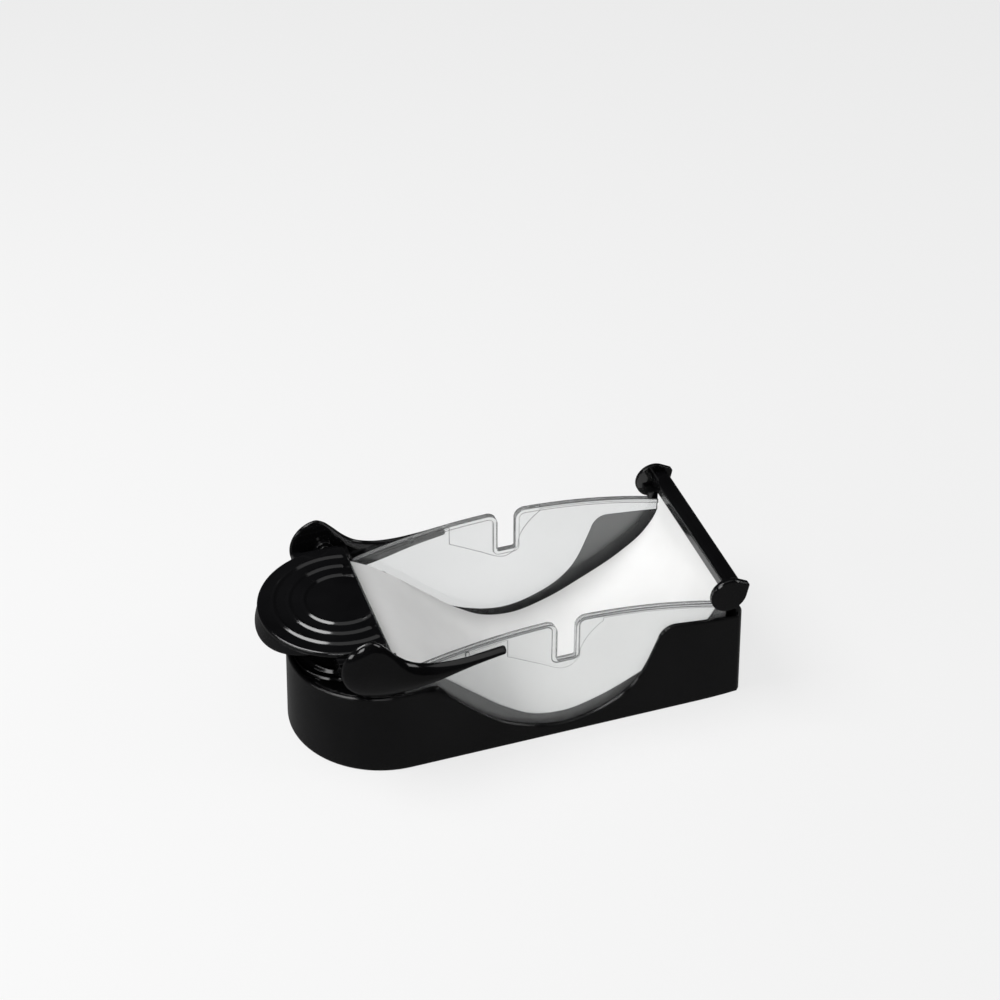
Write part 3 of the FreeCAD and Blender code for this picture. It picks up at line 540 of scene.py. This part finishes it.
middle = int(np.argmin(line[:, 1]))
film_left = closed_tube("film_left", tube(line[:middle + 1], section()))
film_right = closed_tube("film_right", tube(line[middle:], section()))
print("the film's halves have", len(film_left.data.polygons), "and", len(film_right.data.polygons), "faces")

# %% [markdown]
# White film: matt and a little waxy. A fine grain keeps it from looking like paper.

# %% White film
def white_film():
    material, tree, shader = new_material("white film", IOR=1.45)
    shade = two_tone(tree, noise(tree, 25), (0.75, 0.75, 0.745), (0.79, 0.79, 0.785))
    tree.links.new(shade, shader.inputs["Base Color"])
    tree.links.new(remap(tree, noise(tree, 90), 0.35, 0.5), shader.inputs["Roughness"])
    bump(tree, shader, noise(tree, 1200, 2.0), 0.15, 0.03 * MM)
    return material


film_white = white_film()
for half in (film_left, film_right):
    half.data.materials.append(film_white)
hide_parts("film")
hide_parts("film")
print("the film shows in", film_white.name)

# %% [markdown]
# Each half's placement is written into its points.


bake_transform(film_left)
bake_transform(film_right)

# %% [markdown]
# The floor is a wide, pale sheet. It is shown to the camera as a plain pale grey by the Light Path node,
# with the press's soft shadow still drawn by the diffuse shader underneath. Two things are set for the look
# and aren't how light behaves: in a reflection the floor is much darker, so that the black plastic stays
# black, and the sky is as pale as the far floor to the camera only, so that no horizon shows.

# %% Floor and sky
PALE = 0.95
GREY = 0.7
FLOOR_HALF = 6.0
FLOOR_DROP = 0.05 * MM    # keeps the floor from lying in one plane with the feet
GLOW = 0.8                # how much of the floor's look is its own plain colour
MIRRORED = 0.13           # how bright the floor is in a reflection
DARK_SKY = 0.015          # the sky's strength to everything but the camera


def plain_floor():
    material, tree, shader = new_material("floor", Roughness=0.9, Specular_IOR_Level=0.0)
    shader.inputs["Base Color"].default_value = (GREY, GREY, GREY, 1)
    glow = tree.nodes.new("ShaderNodeEmission")
    glow.inputs["Color"].default_value = (PALE, PALE, PALE, 1)
    dim = tree.nodes.new("ShaderNodeEmission")
    dim.inputs["Color"].default_value = (MIRRORED, MIRRORED, MIRRORED, 1)
    path = tree.nodes.new("ShaderNodeLightPath")
    either = tree.nodes.new("ShaderNodeMath")
    either.operation = "MAXIMUM"
    tree.links.new(path.outputs["Is Camera Ray"], either.inputs[0])
    tree.links.new(path.outputs["Is Transmission Ray"], either.inputs[1])
    only = tree.nodes.new("ShaderNodeMath")
    only.operation = "GREATER_THAN"
    tree.links.new(path.outputs["Is Glossy Ray"], only.inputs[0])
    tree.links.new(path.outputs["Is Transmission Ray"], only.inputs[1])
    look = shader.outputs["BSDF"]
    for share, light in ((remap(tree, either.outputs["Value"], 0.0, GLOW), glow), (only.outputs["Value"], dim)):
        mix = tree.nodes.new("ShaderNodeMixShader")
        tree.links.new(share, mix.inputs["Fac"])
        tree.links.new(look, mix.inputs[1])
        tree.links.new(light.outputs["Emission"], mix.inputs[2])
        look = mix.outputs["Shader"]
    output = next(node for node in tree.nodes if node.type == "OUTPUT_MATERIAL")
    tree.links.new(look, output.inputs["Surface"])
    return material


floor_mesh = bpy.data.meshes.new("floor")
corners = [(x * FLOOR_HALF, y * FLOOR_HALF, -FLOOR_DROP) for x, y in ((-1, -1), (1, -1), (1, 1), (-1, 1))]
floor_mesh.from_pydata(corners, [], [(0, 1, 2, 3)])
floor_mesh.materials.append(plain_floor())
floor = bpy.data.objects.new("floor", floor_mesh)
bpy.context.scene.collection.objects.link(floor)

world = bpy.data.worlds.new("studio")
bpy.context.scene.world = world
world.use_nodes = True
sky = world.node_tree.nodes["Background"]
sky.inputs["Color"].default_value = (PALE, PALE, PALE, 1)
seen = world.node_tree.nodes.new("ShaderNodeLightPath").outputs["Is Camera Ray"]
world.node_tree.links.new(remap(world.node_tree, seen, DARK_SKY, GLOW), sky.inputs["Strength"])
print("the floor is", 2 * FLOOR_HALF, "m wide")

# %% [markdown]
# Light comes from soft panels. The main one stands behind the round end, and its reflection lies along the
# tops of the glossy edges. A wide one overhead evens the light, and weaker ones on the left, in front and on
# the right draw the ridges, the hub's shoulder and the film's slope.

# %% Lamps
def panel(name, place, aim, size, power):
    """A rectangular area lamp at place that shines towards aim."""
    lamp = bpy.data.lights.new(name, "AREA")
    lamp.shape, lamp.size, lamp.size_y, lamp.energy = "RECTANGLE", size[0], size[1], power
    holder = bpy.data.objects.new(name, lamp)
    bpy.context.scene.collection.objects.link(holder)
    holder.location = place
    way = np.array(aim) - np.array(place)
    yaw, pitch = math.atan2(way[1], way[0]), math.atan2(math.hypot(way[0], way[1]), -way[2])
    holder.rotation_euler = (pitch, 0.0, yaw - math.pi / 2)
    return holder


panel("main", (-0.68, 0.20, 1.25), (-0.05, 0, 0.06), (0.75, 0.75), 18)
panel("ceiling", (0.1, -0.2, 2.1), (0, 0, 0.05), (2.2, 2.0), 10)
panel("front", (-0.59, -1.12, 0.79), (-0.09, 0, 0.08), (0.4, 0.4), 3)
panel("left", (-1.25, -0.30, 0.52), (-0.12, -0.03, 0.05), (1.1, 0.3), 5)
panel("right", (1.4, -0.5, 0.9), (0, 0, 0.05), (0.6, 0.6), 4)
bpy.context.scene.view_settings.view_transform = "Standard"
print("the lamps are lit")
